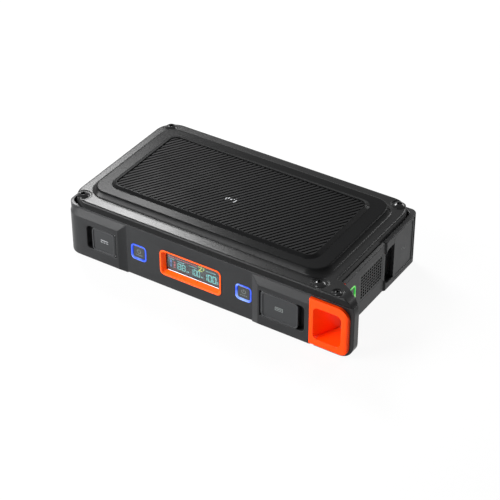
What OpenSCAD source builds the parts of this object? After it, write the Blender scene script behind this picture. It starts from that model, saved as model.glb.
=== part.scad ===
// Portable power pack: two-shell housing with a ribbed charging pad on top, three hinged
// socket covers, three lit push buttons, a recessed display and a strap loop at one corner.
// The frame: X runs along the long side, -Y is the front panel, Z is up, the feet stand on Z = 0.

/* [Housing] */
// Width of the housing, without the strap loop
housing_w = 206.8; // [196:0.2:220]
// Depth of the housing, centre panel to back
housing_d = 118.8; // [112:0.2:130]
// Plan radius of the housing's upright corners
housing_corner_r = 9; // [8:0.5:12]
// Wall thickness of both shells
wall_t = 2.4; // [1.8:0.1:3]
// Thickness of the floor of the lower shell
floor_t = 2.6; // [2:0.1:3.5]
// Height of the seam between the shells above the ground
seam_z = 40.6; // [39.5:0.1:44]
// Gap between the two shells at the seam
seam_gap = 0.3; // [0.1:0.05:0.5]
// Chamfer round the underside
base_chamfer = 0.8; // [0.4:0.1:1.2]
// How far the sides of the lower shell stand out under the top cover
side_step = 2.2; // [1.5:0.1:3]
// Height of the bevel along the top of the lower shell's sides
side_bevel = 1; // [0.6:0.1:2]

/* [Top cover] */
// Height of the leaning band between seam and shelf
band_h = 5.1; // [4:0.1:7]
// How far the band leans in
band_lean = 0.5; // [0.2:0.1:1.5]
// Radius of the round edge between band and shelf
band_edge_r = 1.6; // [0.8:0.1:2]
// Plan radius of the top cover's corners
top_corner_r = 15; // [12:0.5:18]
// Distance from the housing's face to the edge of the raised deck
deck_inset = 12.2; // [11:0.1:14]
// Height of the deck above the shelf
deck_rise = 4; // [3:0.1:6]
// Horizontal run of the slope up to the deck
deck_slope = 2.6; // [1.5:0.1:4]
// Radius of the round edge along the top of that slope
deck_edge_r = 2; // [0.5:0.1:2.5]
// Radius of the hollow at the foot of that slope
deck_foot_r = 1.5; // [0.5:0.1:2.5]
// Plan radius of the deck's corners
deck_corner_r = 11.5; // [9:0.5:15]
// Height of the pad's rim above the deck
rim_rise = 1.4; // [0.8:0.1:2]
// Horizontal run of the rim's bevel
rim_run = 3.1; // [2:0.1:4]
// Plan radius of the pad's corners
pad_corner_r = 5.4; // [4:0.1:8]
// Thickness of the deck's skin under the pad
deck_skin = 1.8; // [1.2:0.1:2.5]

/* [Charging pad] */
// Length of the ribbed pad
pad_w = 156.4; // [140:0.2:165]
// Place of the middle of the pad
pad_x = -0.8; // [-2:0.1:2]
// Width of the ribbed pad
pad_d = 72.4; // [64:0.2:78]
// Thickness of the pad's plate, without the ribs
pad_plate_t = 1; // [0.8:0.1:1.4]
// Height of the ribs
rib_h = 0.8; // [0.4:0.1:1]
// Distance from rib to rib
rib_pitch = 2.9; // [2.4:0.1:4]
// Width of the groove between two ribs
rib_groove_w = 1.1; // [0.6:0.1:1.6]
// Direction of the ribs, anticlockwise from the long side
rib_angle = 58.5; // [0:0.5:90]
// How far the ribs lie below the rim
pad_sink = 0.6; // [0.2:0.1:1]
// Gap round the pad
pad_gap = 0.2; // [0.1:0.05:0.4]

/* [Front pods] */
// How far the pods stand in front of the centre panel
pod_proud = 2.4; // [1.5:0.1:3.5]
// Sideways run of the bevel between a pod and the centre panel
pod_bevel_w = 5.6; // [3:0.1:8]
// Height at which a pod starts to lean back to the seam
pod_shoulder_z = 34; // [32:0.1:36]
// Inner edge of the left pod, from the middle of the housing
left_pod_x = -58.5; // [-62:0.1:-56]
// Inner edge of the right pod, from the middle of the housing
right_pod_x = 52.6; // [50.5:0.1:53]

/* [Socket covers] */
// Thickness of a socket cover
cover_t = 2.4; // [2:0.1:3]
// Gap between a cover and its pocket
cover_gap = 0.35; // [0.3:0.05:0.5]
// Plan radius of a cover's free corners
cover_corner_r = 2.6; // [1.5:0.1:3.5]
// Width of the bead round a cover
bead_w = 0.9; // [0.6:0.1:1.4]
// Depth of the sunk field inside the bead
bead_h = 0.4; // [0.2:0.05:0.6]
// Radius of the hinge barrel on a cover
barrel_r = 1.3; // [1.1:0.05:1.5]
// Radius of a hinge pin
pin_r = 0.6; // [0.4:0.05:0.7]
// Running clearance round a hinge pin
pin_gap = 0.05; // [0.02:0.01:0.1]
// How far a hinge pin reaches into the housing at each end
pin_reach = 1.5; // [1:0.1:1.8]
// Depth of the finger notch
notch_depth = 4.2; // [3.5:0.1:5]
// Width of the direct-current cover
dc_cover_w = 18.2; // [17:0.1:22]
// Height of the direct-current cover
dc_cover_h = 18; // [16:0.1:20]
// Hinge line of the direct-current cover
dc_hinge_x = -61.8; // [-63:0.1:-61]
// Width of the finger notch beside the direct-current cover
dc_notch_w = 4.2; // [4.2:0.1:6]
// Width of the cover of the data ports
usb_cover_w = 27.4; // [26:0.1:29]
// Height of the cover of the data ports
usb_cover_h = 19.6; // [18:0.1:21]
// Hinge line of the cover of the data ports
usb_hinge_x = 55.6; // [54.5:0.1:56.5]
// Width of the finger notch beside the cover of the data ports
usb_notch_w = 4.6; // [4.2:0.1:6]
// Height of the middle of both front covers
front_cover_z = 20.4; // [19:0.1:21.5]
// Length of the mains cover along the side
ac_cover_w = 26.6; // [25:0.1:31]
// Height of the mains cover
ac_cover_h = 34.6; // [30:0.1:36]
// Hinge line of the mains cover, from the middle of the housing
ac_hinge_y = 53; // [51:0.1:53.5]
// Height of the middle of the mains cover
ac_cover_z = 21.7; // [20.5:0.1:22]
// Width of the finger notch beside the mains cover
ac_notch_w = 10.2; // [6:0.1:11]
// How far the mains pod stands out of the side
ac_pod_proud = 1; // [0.6:0.1:2]

/* [Buttons and display] */
// Width of a light ring
ring_w = 12.4; // [11:0.1:14]
// Height of a light ring
ring_h = 12.4; // [11:0.1:14]
// Width of the lit band of a ring
ring_band = 1.1; // [0.8:0.05:1.6]
// Corner radius of a ring
ring_corner_r = 3; // [2:0.1:4]
// Gap between a button's cap and its ring
cap_gap = 0.3; // [0.25:0.05:0.5]
// How far a cap lies behind the face of the panel
cap_sink = 0.3; // [0:0.05:0.8]
// Travel of a button
button_travel = 0.8; // [0.4:0.1:1.2]
// Place of the left button
left_button_x = -43.1; // [-45:0.1:-41]
// Place of the right button
right_button_x = 40.3; // [39:0.1:42]
// Height of the middle of the front buttons and the display
panel_mid_z = 20.9; // [20:0.1:22]
// Place of the side button along the side
side_button_y = -29.7; // [-31:0.1:-29]
// Height of the middle of the side button
side_button_z = 25; // [24:0.1:27]
// Width of the display's bezel
bezel_w = 48.6; // [44:0.1:52]
// Height of the display's bezel
bezel_h = 20; // [18:0.1:22]
// Place of the display
bezel_x = -1.4; // [-4:0.1:2]
// Corner radius of the bezel
bezel_corner_r = 3.6; // [2.5:0.1:5]
// Depth of the display's window behind the panel
window_depth = 3.2; // [2.5:0.1:4]
// How much the bezel narrows on each side towards the window
bezel_taper = 1.9; // [1:0.1:2.4]

/* [Strap loop] */
// Outer face of the loop, from the middle of the housing
loop_x = 122.8; // [119:0.1:126]
// Depth of the loop's outer post at its side face
loop_post_d = 5.7; // [5:0.1:8]
// Where the loop's rear edge meets the side of the housing
loop_root_y = -42.8; // [-43.5:0.1:-42]
// Radius of the loop's outer corners
loop_corner_r = 10.5; // [8:0.5:12]
// Left edge of the strap opening
opening_x = 94.2; // [93:0.1:95]
// Width of the strap opening
opening_w = 20.6; // [17:0.1:21]
// Bottom of the strap opening
opening_z = 8.4; // [8:0.1:11]
// Height of the strap opening
opening_h = 25; // [22:0.1:28]
// Corner radius of the strap opening
opening_corner_r = 3.8; // [2:0.1:5]
// Wall thickness of the loop's liner
liner_t = 1.4; // [1.2:0.1:1.6]
// Border of the liner's front plate to the left of the opening
plate_left_w = 2.9; // [2.5:0.1:3.2]
// Border of the liner's front plate to the right of the opening
plate_right = 5.1; // [4:0.1:6.5]
// Border of the liner's front plate above the opening
plate_above = 5.9; // [4:0.1:6.5]
// Border of the liner's front plate below the opening
plate_below = 5; // [4:0.1:5.5]
// Radius of the liner plate's upper corner
plate_corner_r = 8; // [6:0.5:9]
// Radius of the liner plate's lower corner
plate_low_r = 5.5; // [4:0.5:8]

/* [Fasteners and feet] */
// Radius of a cover screw's head
screw_head_r = 5.2; // [4:0.1:5.4]
// Height of a cover screw's domed head
screw_head_h = 2; // [1.4:0.1:2.4]
// Radius of a cover screw's shank
screw_r = 1.5; // [1.2:0.05:1.8]
// Length of a cover screw below its head
screw_l = 13; // [11:0.5:16]
// Distance from the housing's side to the cover screws
screw_inset_x = 10.3; // [10:0.1:12]
// Distance from the housing's front and back to the cover screws
screw_inset_y = 7.2; // [7:0.1:8.5]
// Radius of the posts round the cover screws
post_r = 4.4; // [3.6:0.1:5]
// Radius of the loop screw's head
loop_screw_head_r = 3.4; // [3:0.1:3.8]
// How far the loop screw's tip stays above the tunnel
loop_screw_clear = 1.6; // [1:0.1:3]
// Place of the loop screw
loop_screw_x = 107.6; // [106:0.1:109]
// Distance of the loop screw from the front
loop_screw_inset_y = 4.8; // [4.2:0.1:5.5]
// Depth of the seats of all five screws
screw_seat = 0.5; // [0.3:0.1:0.8]
// Radius of a rubber foot
foot_r = 6; // [4:0.5:8]
// How far the feet stand below the underside
foot_proud = 0.8; // [0.5:0.1:1.5]
// Depth of a foot's seat
foot_seat = 0.9; // [0.5:0.1:1.2]
// Distance of the feet from the sides
foot_inset = 16; // [14:0.5:24]

/* [Ventilation] */
// Width of a grille
grille_w = 30.4; // [26:0.1:31]
// Height of a grille
grille_h = 21; // [18:0.1:24]
// Place of the grilles along the sides
grille_y = -2.8; // [-5:0.1:0]
// Height of the middle of the grilles
grille_z = 23; // [22:0.1:24]
// Slots in a row
grille_columns = 10; // [6:1:12]
// Rows of slots
grille_rows = 8; // [5:1:9]
// Share of the pitch that a slot takes up
grille_open = 0.7; // [0.5:0.02:0.75]
// Solid border of a grille
grille_border = 1.2; // [0.8:0.1:2]
// Width of the fan's square frame
fan_w = 30; // [26:0.5:32]
// Depth of the fan
fan_d = 10; // [8:0.5:12]
// Radius of the fan's hub
fan_hub_r = 7.5; // [6:0.5:9]
// Number of fan blades
fan_blades = 7; // [5:1:9]
// Radius of the fan's shaft
fan_shaft_r = 0.8; // [0.6:0.05:1]
// Gap between the fan's blades and frame
fan_gap = 0.6; // [0.4:0.1:1]

/* [Battery] */
// Radius of a cell
cell_r = 9.15; // [9:0.05:9.3]
// Length of a cell
cell_l = 65; // [60:0.5:66]
// Distance from cell to cell
cell_pitch = 18.8; // [18.7:0.1:19.2]
// Cells side by side in a block
cell_columns = 5; // [3:1:5]
// Thickness of a cell holder
holder_t = 6; // [4:0.5:9]
// Gap round a cell in its holder
cell_fit = 0.1; // [0.05:0.05:0.2]
// Left edge of the battery
battery_x = -84.6; // [-86:0.1:-83]
// Gap between the battery and the back wall
battery_gap = 1.6; // [1.2:0.1:2.2]
// Thickness of the cell tabs
tab_t = 0.3; // [0.15:0.05:0.5]

/* [Electronics] */
// Thickness of every circuit board
board_t = 1.6; // [1:0.1:2]
// Distance of the front board behind the centre panel's face
front_board_depth = 8.8; // [8.8:0.1:10]
// Thickness of the display's clear window
lens_t = 1; // [0.8:0.1:1.5]
// Outer radius of the charging coil
coil_r = 24; // [18:0.5:26]
// Inner radius of the charging coil
coil_hole_r = 10; // [8:0.5:14]
// Thickness of the charging coil
coil_t = 1; // [0.6:0.1:1.2]
// Side of the coil's square ferrite plate
ferrite_w = 50; // [40:1:54]
// Thickness of the ferrite plate
ferrite_t = 0.8; // [0.5:0.1:1]
// Height of the inverter board's stand-offs
standoff_h = 3; // [2:0.1:4]
// Length of the inverter board, front to back
inverter_board_d = 78; // [74:1:80]
// Width of the inverter board
inverter_board_w = 36; // [35:0.5:37]

/* [Hidden] */
$fn = 48;

// Levels and half sizes that several pieces share
cut = 0.5;                  // how far a cutter reaches past the surface it opens
far = 20;                   // how far a cutter reaches that runs clear of the whole part
touch = 0.02;               // gap between fixed pieces that seat on each other
fit = 0.05;                 // gap round a fixed insert
half_w = housing_w / 2;
half_d = housing_d / 2;
base_z = foot_proud;
floor_z = base_z + floor_t;
skin_z = seam_z + seam_gap;
shelf_z = seam_z + band_h;
deck_z = shelf_z + deck_rise;
rim_z = deck_z + rim_rise;
pad_top_z = rim_z - pad_sink;
pad_z = pad_top_z - rib_h - pad_plate_t;
ceiling_z = pad_z - deck_skin;
top_w = housing_w - 2 * side_step;
pod_y = -half_d - pod_proud;
ac_pod_x = half_w + ac_pod_proud;
panel_inner_y = -half_d + wall_t;
side_inner_x = half_w - wall_t;

// Covers: the hinge line lies this deep behind the pod's face
hinge_depth = barrel_r + 0.05;
pocket_depth = hinge_depth + barrel_r + cover_gap;
pocket_floor_y = pod_y + pocket_depth;
pocket_floor_x = ac_pod_x - pocket_depth;

// Strap loop: the liner's slanted left wall runs from the plate to the side of the housing
sleeve_rear_w = 0.8;        // width of the sleeve wall's end beside the housing's side face
liner_slant = (half_w - sleeve_rear_w - opening_x) / (loop_root_y - pod_y);
opening_right = opening_x + opening_w;
plate_left = opening_x - plate_left_w;
plate_x2 = opening_right + plate_right;
plate_z1 = opening_z - plate_below;
plate_z2 = opening_z + opening_h + plate_above;
lip_t = 1.2;                // rear lip of the liner: thickness, width along the side, lower end
lip_w = 5.6;
lip_foot = 4.2;
lip_z1 = base_z + lip_foot;
loop_screw_y = -half_d + loop_screw_inset_y;
loop_screw_r = 1.2;
loop_screw_l = shelf_z - screw_seat - opening_z - opening_h - liner_t - loop_screw_clear;
screw_ring = 0.5;           // gap round a screw's head in its seat

// Pods
pod_root_y = -half_d + 1;   // how deep the pods run into the front wall
pod_low_z = base_z;
pod_foot_z = base_z + 2;
pod_top_z = seam_z - 1;
pod_corner_r = housing_corner_r + pod_proud;
pod_skin = 0.05;            // keeps the turned corner off the housing's side face
ac_pod_corner_r = 5.4;
ac_pod_bevel = 0.6;         // bevel at the front end of the mains pod
ac_foot_z = base_z + 0.4;
ac_shoulder_z = seam_z - 0.4;

// Finger notches
notch_overlap = 2.5;        // how far a notch runs under the cover's free edge
ac_pin_reach = 0.6;         // the mains pin ends under the seam
ac_notch_low = 2.1;         // how far the mains notch ends above and below its cover's two ends
ac_notch_top = 5.3;
dc_notch_x1 = dc_hinge_x - dc_cover_w - cover_gap - dc_notch_w;
usb_notch_x2 = usb_hinge_x + usb_cover_w + cover_gap + usb_notch_w;
ac_cover_front_y = ac_hinge_y - ac_cover_w;
ac_notch_y1 = ac_cover_front_y - cover_gap - ac_notch_w;

// Backing behind the covers, and the sockets in it
backing_t = 2;
backing_z = seam_z - wall_t;
port_wall_t = pod_proud + wall_t + backing_t - pocket_depth;
usb_port_gap = 4.2;         // half the distance between the two rows of sockets
usb_a_inset = 8.6;          // from the hinge line to the middle of each kind of socket
usb_c_inset = 21;
usb_zs = [front_cover_z - usb_port_gap, front_cover_z + usb_port_gap];
usb_a_w = 13.1;
usb_a_h = 5.7;
usb_a_x = usb_hinge_x + usb_a_inset;
usb_c_w = 9;
usb_c_h = 3.2;
usb_c_x = usb_hinge_x + usb_c_inset;
dc_jack_w = 8;
dc_jack_hole_r = 2.75;
dc_jack_pin_r = 1.05;
dc_jack_x = dc_hinge_x - dc_cover_w / 2;
dc_jack_gap = 4.4;
dc_jack_zs = [front_cover_z - dc_jack_gap, front_cover_z + dc_jack_gap];
ac_outlet_w = 20;
ac_outlet_h = 26;
ac_outlet_d = 12.8;
ac_outlet_gap = 0.7;        // between the outlet and the post of the nearest screw
ac_outlet_y = half_d - screw_inset_y - post_r - ac_outlet_gap - ac_outlet_w / 2;

// Top cover
deck_foot_w = 2 * (half_w - deck_inset + deck_slope);
deck_foot_d = 2 * (half_d - deck_inset + deck_slope);
rim_flat = 0.3;             // flat top of the pad's rim
rim_foot_w = pad_w + 2 * (pad_gap + rim_flat + rim_run);
rim_foot_d = pad_d + 2 * (pad_gap + rim_flat + rim_run);
rim_corner_r = pad_corner_r + pad_gap + rim_flat + rim_run;
deck_hollow_w = 2 * (half_w - deck_inset - wall_t);
deck_hollow_d = 2 * (half_d - deck_inset - wall_t);

// Screw heads
dome_fullness = 0.78;       // dome radius, as a share of a dome that ends at the rim
screw_hex_r = 1.9;
screw_hex_depth = 1.5;
loop_screw_head_h = 1.5;
loop_screw_hex_r = 1.4;
loop_screw_hex_depth = 1.2;
foot_edge = 0.4;            // bevel round a foot

// Display and buttons
bezel_rim = 1;              // flat rim round the funnel
bezel_proud = 0.3;
window_lap = 0.9;           // how far the window runs behind the funnel's edge
window_w = bezel_w - 2 * (bezel_rim + bezel_taper - window_lap);
window_h = bezel_h - 2 * (bezel_rim + bezel_taper - window_lap);
window_corner_r = 1.2;
ring_l = 4;
ring_proud = 0.1;
cap_edge = 0.4;
flange_t = 1;
flange_w = 1.2;
switch_w = 6;
switch_h = 2;
plunger_r = 1.7;
plunger_gap = 0.08;         // between a pressed button and its switch
plunger_h = front_board_depth - switch_h - ring_l - cap_gap - flange_t - button_travel - plunger_gap;

// Battery
cell_cap_r = 3.2;
cell_cap_h = 1;
block_gap = 2;              // between the two rows of cells, end to end
holder_edge = 0.45;         // holder beyond the outer cells
holder_top = 42.4;
row_zs = [13.6, 32.4];
block_xs = [battery_x, battery_x + cell_l + block_gap];
holder_d = (cell_columns - 1) * cell_pitch + 2 * (cell_r + holder_edge);
battery_y = half_d - wall_t - battery_gap - holder_d / 2;
cell_ys = [for (i = [0 : cell_columns - 1]) battery_y + (i - (cell_columns - 1) / 2) * cell_pitch];

// Inverter board and what stands on it
board_x = 70;
board_y = 5;
board_z = floor_z + standoff_h;
board_top_z = board_z + board_t;
board_screw_r = 1.2;
board_screw_l = 3;
board_screw_head_r = 2.2;
board_screw_head_h = 1.4;
standoff_r = 2.8;
board_screw_inset = 3.4;
board_screw_places = [
    for (sx = [-1, 1], sy = [-1, 1]) [
        board_x + sx * (inverter_board_w / 2 - board_screw_inset),
        board_y + sy * (inverter_board_d / 2 - board_screw_inset)
    ]
];
transformer_y = -22;
transformer_w = 24;
transformer_d = 18;
transformer_h = 22;
transformer_core_t = 5;
choke_x = 7;
choke_y = 13;
choke_r = 7.5;
choke_wire_r = 3.2;
capacitor_xs = [0, 12];
capacitor_y = -5.6;
capacitor_r = 5.5;
capacitor_h = 24;
heat_sink_x = -12;
heat_sink_y = 14;
heat_sink_w = 10;
heat_sink_d = 33;
heat_sink_h = 26;
heat_sink_base_t = 3;
heat_sink_fins = 8;

// Sockets
battery_clear = 4.4;        // between those boards and the battery
port_l = battery_y - holder_d / 2 - battery_clear - board_t - pocket_floor_y;
port_hole_l = 0.65 * port_l;
port_recess = 1;            // contact tongue behind the socket's face
port_corner_r = 1;
port_shell_t = 0.5;
usb_a_corner_r = 0.6;
usb_a_tongue_w = 11;
usb_a_tongue_t = 1.6;
usb_a_tongue_y = 0.2;
usb_c_corner_r = usb_c_h / 2 - 0.1;
usb_c_shell_t = 0.3;
usb_c_tongue_w = 6.6;
usb_c_tongue_t = 0.7;
ac_outlet_corner_r = 2;
ac_slot_gap = 6.4;
ac_slot_w = 1.8;
ac_slot_h = 7;
ac_slot_y = 2;
ac_slot_l = 10;
ac_earth_y = -7;
ac_earth_r = 2.4;

// Other boards
front_board_w = 100;
board_low_z = floor_z + standoff_h;
board_high_z = seam_z - 2.6;
side_board_w = 16;
port_board_z = 34;
tab_w = 8;
battery_board_w = 55;
battery_board_d = 50;
chip_count = 4;
chip_w = 6;
chip_h = 1.6;

// Side grilles and fan
grille_corner_r = 1.5;
fan_seat = 0.5;             // between the fan and the wall
fan_bore_r = fan_w / 2 - 0.8;
fan_plate_t = 1.5;
fan_strut_w = 2;
fan_shaft_gap = 0.05;
rotor_gap = 0.4;            // between the rotor and its frame's two ends
blade_tilt = 32;
blade_chord = 9;
blade_t = 1;

// The whole part is moved so that its origin is at the middle of its footprint
frame_shift = [-(loop_x - half_w) / 2, pod_proud / 2, 0];

module in_frame() {
    translate(frame_shift) children();
}

// ---------- Plain shapes ----------

module rounded_rect(w, h, r) {
    square([w - 2 * r, h], center = true);
    square([w, h - 2 * r], center = true);
    for (sx = [-1, 1], sy = [-1, 1])
        translate([sx * (w / 2 - r), sy * (h / 2 - r)]) circle(r);
}

module rounded_block(w, d, r, h) {
    linear_extrude(h) rounded_rect(w, d, r);
}

// A block with round corners whose sides lean in by inset from bottom to top
module tapered_block(w, d, r, h, inset) {
    for (sx = [-1, 1], sy = [-1, 1])
        translate([sx * (w / 2 - r), sy * (d / 2 - r), 0]) cylinder(h = h, r1 = r, r2 = r - inset);
    rotate([90, 0, 90]) translate([0, 0, r - w / 2]) linear_extrude(w - 2 * r)
        polygon([[-d / 2, 0], [d / 2, 0], [d / 2 - inset, h], [inset - d / 2, h]]);
    rotate([90, 0, 0]) translate([0, 0, r - d / 2]) linear_extrude(d - 2 * r)
        polygon([[-w / 2, 0], [w / 2, 0], [w / 2 - inset, h], [inset - w / 2, h]]);
}

// A block with round corners whose edge follows the 2D profile given as its child:
// the block's side is at X = 0 and the profile runs in to X = -reach, with reach under r
module edge_sweep(w, d, r, h, reach) {
    translate([0, 0, h / 2]) cube([w - 2 * reach, d - 2 * reach, h], center = true);
    for (sx = [-1, 1], sy = [-1, 1])
        translate([sx * (w / 2 - r), sy * (d / 2 - r), 0]) rotate_extrude() translate([r, 0]) children();
    for (a = [0, 180]) {
        rotate([0, 0, a]) translate([w / 2, 0, 0]) rotate([90, 0, 0])
            linear_extrude(d - 2 * r, center = true) children();
        rotate([0, 0, a + 90]) translate([d / 2, 0, 0]) rotate([90, 0, 0])
            linear_extrude(w - 2 * r, center = true) children();
    }
}

// Side that leans in and ends in a round edge
module round_edge_profile(reach, h, lean, edge_r) {
    translate([-reach, 0]) square([reach - lean - edge_r, h]);
    polygon([[-reach, 0], [0, 0], [-lean, h - edge_r], [-reach, h - edge_r]]);
    translate([-lean - edge_r, h - edge_r]) circle(edge_r);
}

// Slope with a round edge along its top and a hollow along its foot
module slope_profile(reach, h, run, edge_r, foot_r) {
    a = atan2(h, run);
    t = edge_r * tan(a / 2);
    f = foot_r * tan(a / 2);
    translate([-reach, 0]) square([reach - run - t, h]);
    polygon([[-reach, 0], [0, 0], [t * cos(a) - run, h - t * sin(a)], [-reach, h - t * sin(a)]]);
    translate([-run - t, h - edge_r]) circle(edge_r);
    difference() {
        polygon([[-reach, 0], [f, 0], [-f * cos(a), f * sin(a)], [-reach, f * sin(a)]]);
        translate([f, foot_r]) circle(foot_r);
    }
}

// Local axes on a face of the housing: X along the face, Y up, Z outwards
module on_front(x, z, face_y) {
    translate([x, face_y, z]) rotate([90, 0, 0]) children();
}

module on_right(y, z, face_x) {
    translate([face_x, y, z]) rotate([90, 0, 90]) children();
}

module on_left(y, z, face_x) {
    translate([face_x, y, z]) rotate([90, 0, -90]) children();
}

function corner_points(dx, dy) = [for (sx = [-1, 1], sy = [-1, 1]) [sx * dx, sy * dy]];
screw_places = corner_points(half_w - screw_inset_x, half_d - screw_inset_y);
foot_places = corner_points(half_w - foot_inset, half_d - foot_inset);

// ---------- Strap loop outlines ----------

// X of the slanted wall at a given Y, moved outwards (to the left) by t
function slant_x(y, t) = opening_x + (y - pod_y) * liner_slant - t * sqrt(1 + liner_slant * liner_slant);

// Everything right of the slanted wall and in front of the loop's rear edge
module loop_plan(t, rear = 0) {
    polygon([
        [slant_x(pod_y - far, t), pod_y - far],
        [loop_x + far, pod_y - far],
        [loop_x + far, loop_post_d - half_d],
        [loop_x, loop_post_d - half_d],
        [half_w, loop_root_y + rear],
        [slant_x(loop_root_y + rear, t), loop_root_y + rear]
    ]);
}

// Front outline of the loop, as a solid that runs through in Y
module loop_front_outline(z1, z2, r) {
    rotate([90, 0, 0]) linear_extrude(2 * half_d, center = true) {
        translate([0, z1]) square([loop_x - r, z2 - z1]);
        translate([0, z1 + r]) square([loop_x, z2 - z1 - 2 * r]);
        for (z = [z1 + r, z2 - r]) translate([loop_x - r, z]) circle(r);
    }
}

// Side profile of housing and band, as a solid that runs through in X
module band_profile(x1, x2) {
    translate([x1, 0, 0]) rotate([90, 0, 90]) linear_extrude(x2 - x1) {
        translate([-half_d, base_z]) square([half_d, skin_z - base_z]);
        translate([-half_d, skin_z]) mirror([1, 0])
            round_edge_profile(half_d, shelf_z - skin_z, band_lean, band_edge_r);
    }
}

// The tunnel that the strap runs through, grown by t on every side
module strap_tunnel(t) {
    w = opening_w + 2 * t;
    h = opening_h + 2 * t;
    intersection() {
        on_front(opening_x + opening_w / 2, opening_z + opening_h / 2, 0)
            linear_extrude(2 * half_d + 2 * far, center = true)
                rounded_rect(w, h, opening_corner_r + t);
        translate([0, 0, opening_z - t]) linear_extrude(h) tunnel_plan(t);
    }
}

module tunnel_plan(t) {
    polygon([
        [slant_x(pod_y - far, t), pod_y - far],
        [opening_right + t, pod_y - far],
        [opening_right + t, loop_root_y + far],
        [slant_x(loop_root_y + far, t), loop_root_y + far]
    ]);
}

// ---------- Shells ----------

module pod_side_profile(x1, x2) {
    translate([x1, 0, 0]) rotate([90, 0, 90]) linear_extrude(x2 - x1)
        polygon([
            [pod_y, pod_foot_z], [pod_y, pod_shoulder_z], [-half_d, pod_top_z],
            [pod_root_y, pod_top_z], [pod_root_y, pod_low_z], [-half_d, pod_low_z]
        ]);
}

module front_pod(plan) {
    x = [for (p = plan) p[0]];
    intersection() {
        pod_side_profile(min(x), max(x));
        translate([0, 0, base_z]) linear_extrude(seam_z) polygon(plan);
    }
}

// The left pod runs round the corner of the housing, as a turned corner piece
module left_pod() {
    corner_x = pod_corner_r - half_w + pod_skin;
    front_pod([
        [corner_x, pod_root_y], [corner_x, pod_y], [left_pod_x, pod_y],
        [left_pod_x + pod_bevel_w, -half_d], [left_pod_x + pod_bevel_w, pod_root_y]
    ]);
    translate([corner_x, pod_y + pod_corner_r, 0]) rotate_extrude()
        polygon([
            [0, pod_low_z], [pod_corner_r - pod_proud, pod_low_z], [pod_corner_r, pod_foot_z],
            [pod_corner_r, pod_shoulder_z], [pod_corner_r - pod_proud, pod_top_z], [0, pod_top_z]
        ]);
}

module right_pod() {
    front_pod([
        [right_pod_x - pod_bevel_w, pod_root_y], [right_pod_x - pod_bevel_w, -half_d],
        [right_pod_x, pod_y], [plate_left - touch, pod_y], [plate_left - touch, pod_root_y]
    ]);
}

// The mains pod squares off the rear corner and stands out of the side
module ac_pod() {
    root_x = half_w - housing_corner_r;
    intersection() {
        translate([0, 0, base_z]) linear_extrude(seam_z) {
            polygon([
                [root_x, ac_notch_y1 - ac_pod_bevel], [half_w, ac_notch_y1 - ac_pod_bevel],
                [ac_pod_x, ac_notch_y1], [ac_pod_x, half_d - ac_pod_corner_r],
                [root_x, half_d - ac_pod_corner_r]
            ]);
            translate([root_x, half_d - 2 * ac_pod_corner_r])
                square([ac_pod_x - root_x - ac_pod_corner_r, 2 * ac_pod_corner_r]);
            translate([ac_pod_x - ac_pod_corner_r, half_d - ac_pod_corner_r]) circle(ac_pod_corner_r);
        }
        rotate([90, 0, 0]) linear_extrude(2 * housing_d, center = true)
            polygon([
                [root_x, pod_low_z], [half_w, pod_low_z], [ac_pod_x, ac_foot_z],
                [ac_pod_x, ac_shoulder_z], [half_w - side_step, seam_z], [root_x, seam_z]
            ]);
    }
}

// Side to side profile: both sides have a flat bevel along the top
module bevelled_sides() {
    rotate([90, 0, 0]) linear_extrude(2 * housing_d, center = true)
        polygon([
            [-half_w, base_z], [half_w, base_z], [half_w, seam_z - side_bevel],
            [half_w - side_step, seam_z], [side_step - half_w, seam_z], [-half_w, seam_z - side_bevel]
        ]);
}

module lower_outer() {
    wall_h = seam_z - base_z - base_chamfer;
    difference() {
        intersection() {
            union() {
                translate([0, 0, base_z + base_chamfer]) {
                    mirror([0, 0, 1])
                        tapered_block(housing_w, housing_d, housing_corner_r, base_chamfer, base_chamfer);
                    rounded_block(housing_w, housing_d, housing_corner_r, wall_h);
                }
                // the corner behind the loop's plate is square
                translate([half_w - housing_corner_r, -half_d, base_z + base_chamfer])
                    cube([housing_corner_r, housing_corner_r, wall_h]);
                left_pod();
                right_pod();
            }
            bevelled_sides();
        }
    }
    ac_pod();
}

// The hollow of the lower shell, with the corner of the strap loop kept out
module lower_hollow() {
    translate([0, 0, floor_z]) linear_extrude(seam_z) difference() {
        rounded_rect(housing_w - 2 * wall_t, housing_d - 2 * wall_t, housing_corner_r - wall_t);
        loop_plan(liner_t + touch + wall_t, wall_t);
    }
}

// Solid backing inside the wall, behind a cover's pocket and notch
module front_backing(x1, x2) {
    translate([x1, panel_inner_y - cut, floor_z - cut])
        cube([x2 - x1, backing_t + cut, backing_z - floor_z + cut]);
}

module side_backing() {
    translate([side_inner_x - backing_t, ac_notch_y1 - wall_t, floor_z - cut])
        cube([backing_t + cut, ac_hinge_y - ac_notch_y1 + wall_t + barrel_r, backing_z - floor_z + cut]);
}

// Pocket of a cover whose hinge line is at X = 0 and whose free edge is at -w; a finger notch
// beside the free edge ends low above and high below the cover's two ends
module cover_pocket(w, h, notch_w, low = 0, high = 0) {
    notch_h = h + 2 * cover_gap - low - high;
    translate([0, 0, -pocket_depth]) linear_extrude(pocket_depth + cut) {
        cover_outline(-w - cover_gap, barrel_r + cover_gap, h + 2 * cover_gap, cover_corner_r + cover_gap);
        // square at the hinge, where the open cover stands across the pocket's end
        translate([-cover_corner_r, -h / 2 - cover_gap])
            square([cover_corner_r + barrel_r + cover_gap, h + 2 * cover_gap]);
    }
    translate([0, (low - high) / 2, -notch_depth]) linear_extrude(notch_depth + cut)
        cover_outline(-w - cover_gap - notch_w, notch_overlap - w, notch_h, cover_corner_r + cover_gap);
}

module cover_outline(x1, x2, h, r) {
    translate([(x1 + x2) / 2, 0]) rounded_rect(x2 - x1, h, r);
}

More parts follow.
